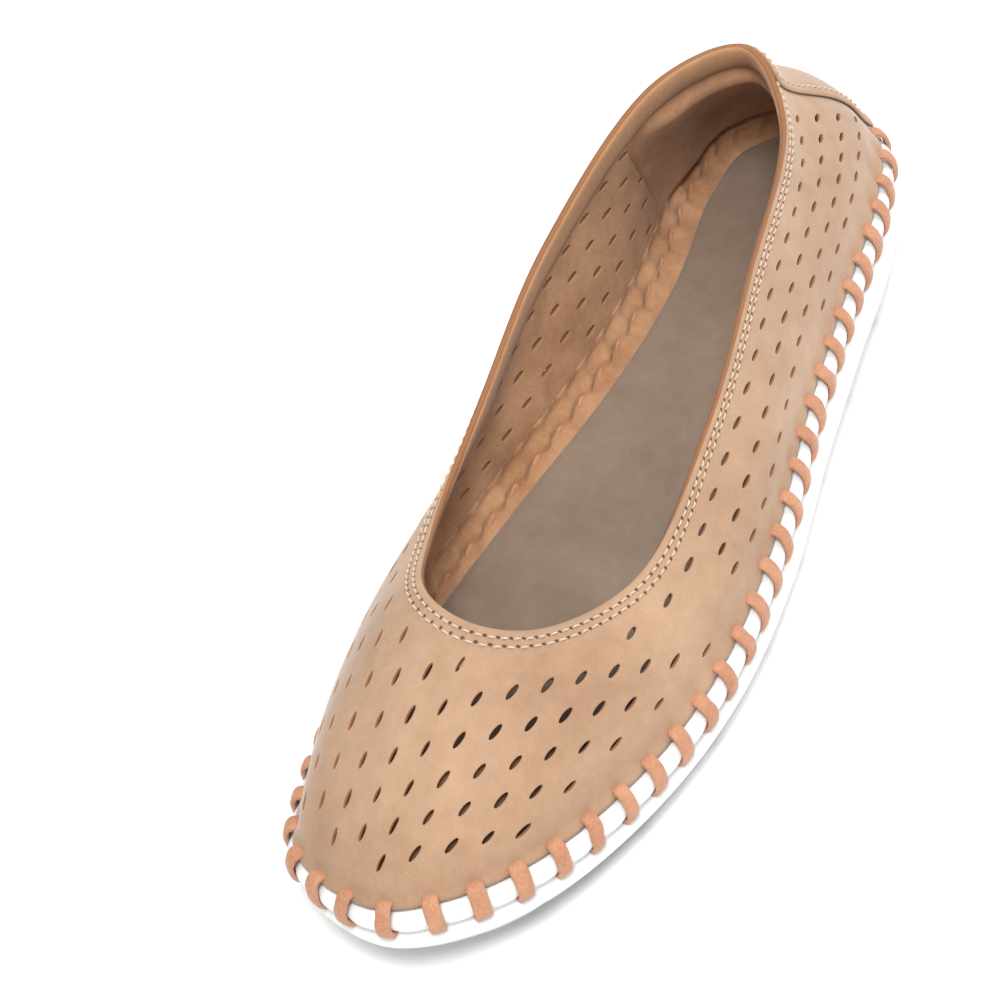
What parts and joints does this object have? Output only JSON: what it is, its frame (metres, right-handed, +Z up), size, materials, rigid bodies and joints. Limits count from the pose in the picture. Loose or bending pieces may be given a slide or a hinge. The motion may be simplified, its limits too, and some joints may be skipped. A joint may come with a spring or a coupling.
{
  "type": "slip-on ballet flat",
  "caption": "Left slip-on ballet flat: perforated tan nubuck upper whip-stitched by a leather lace to the rim of a white wedge sole, with a grey microfibre footbed.",
  "frame": {"origin": "centre of the bounding box, on the ground under the sole", "axes": "+X from heel to toe, +Y to the wearer's left (the outer side of this left shoe), +Z up"},
  "size_m": [0.2638, 0.0886, 0.074],
  "materials": {
    "tread_rubber": "matte moulded rubber, off-white",
    "sole_white": "matte white moulded foam with a rounded stitched rim",
    "board": "stiff fibre board",
    "pad_foam": "soft cushioning foam",
    "microfibre": "grey napped microfibre",
    "nubuck": "tan nubuck with a fine nap and slotted perforations",
    "flesh_leather": "unlined flesh side, brown and fibrous",
    "stiffener": "thin shaping stiffener",
    "lace_leather": "rounded leather lace",
    "thread": "light beige sewing thread"
  },
  "bodies": {
    "root": {"outsole": "tread_rubber", "midsole": "sole_white", "insole_board": "board", "heel_pad": "pad_foam", "footbed_foam": "pad_foam", "footbed_cover": "microfibre", "upper": "nubuck", "toe_puff": "stiffener", "heel_counter": "stiffener", "heel_lining": "flesh_leather", "heel_patch": "nubuck", "heel_patch_thread_outer": "thread", "heel_patch_thread_inner": "thread", "topline_tape": "flesh_leather", "topline_thread_edge": "thread", "topline_thread_inset": "thread", "lace": "lace_leather"}
  },
  "joints": []
}
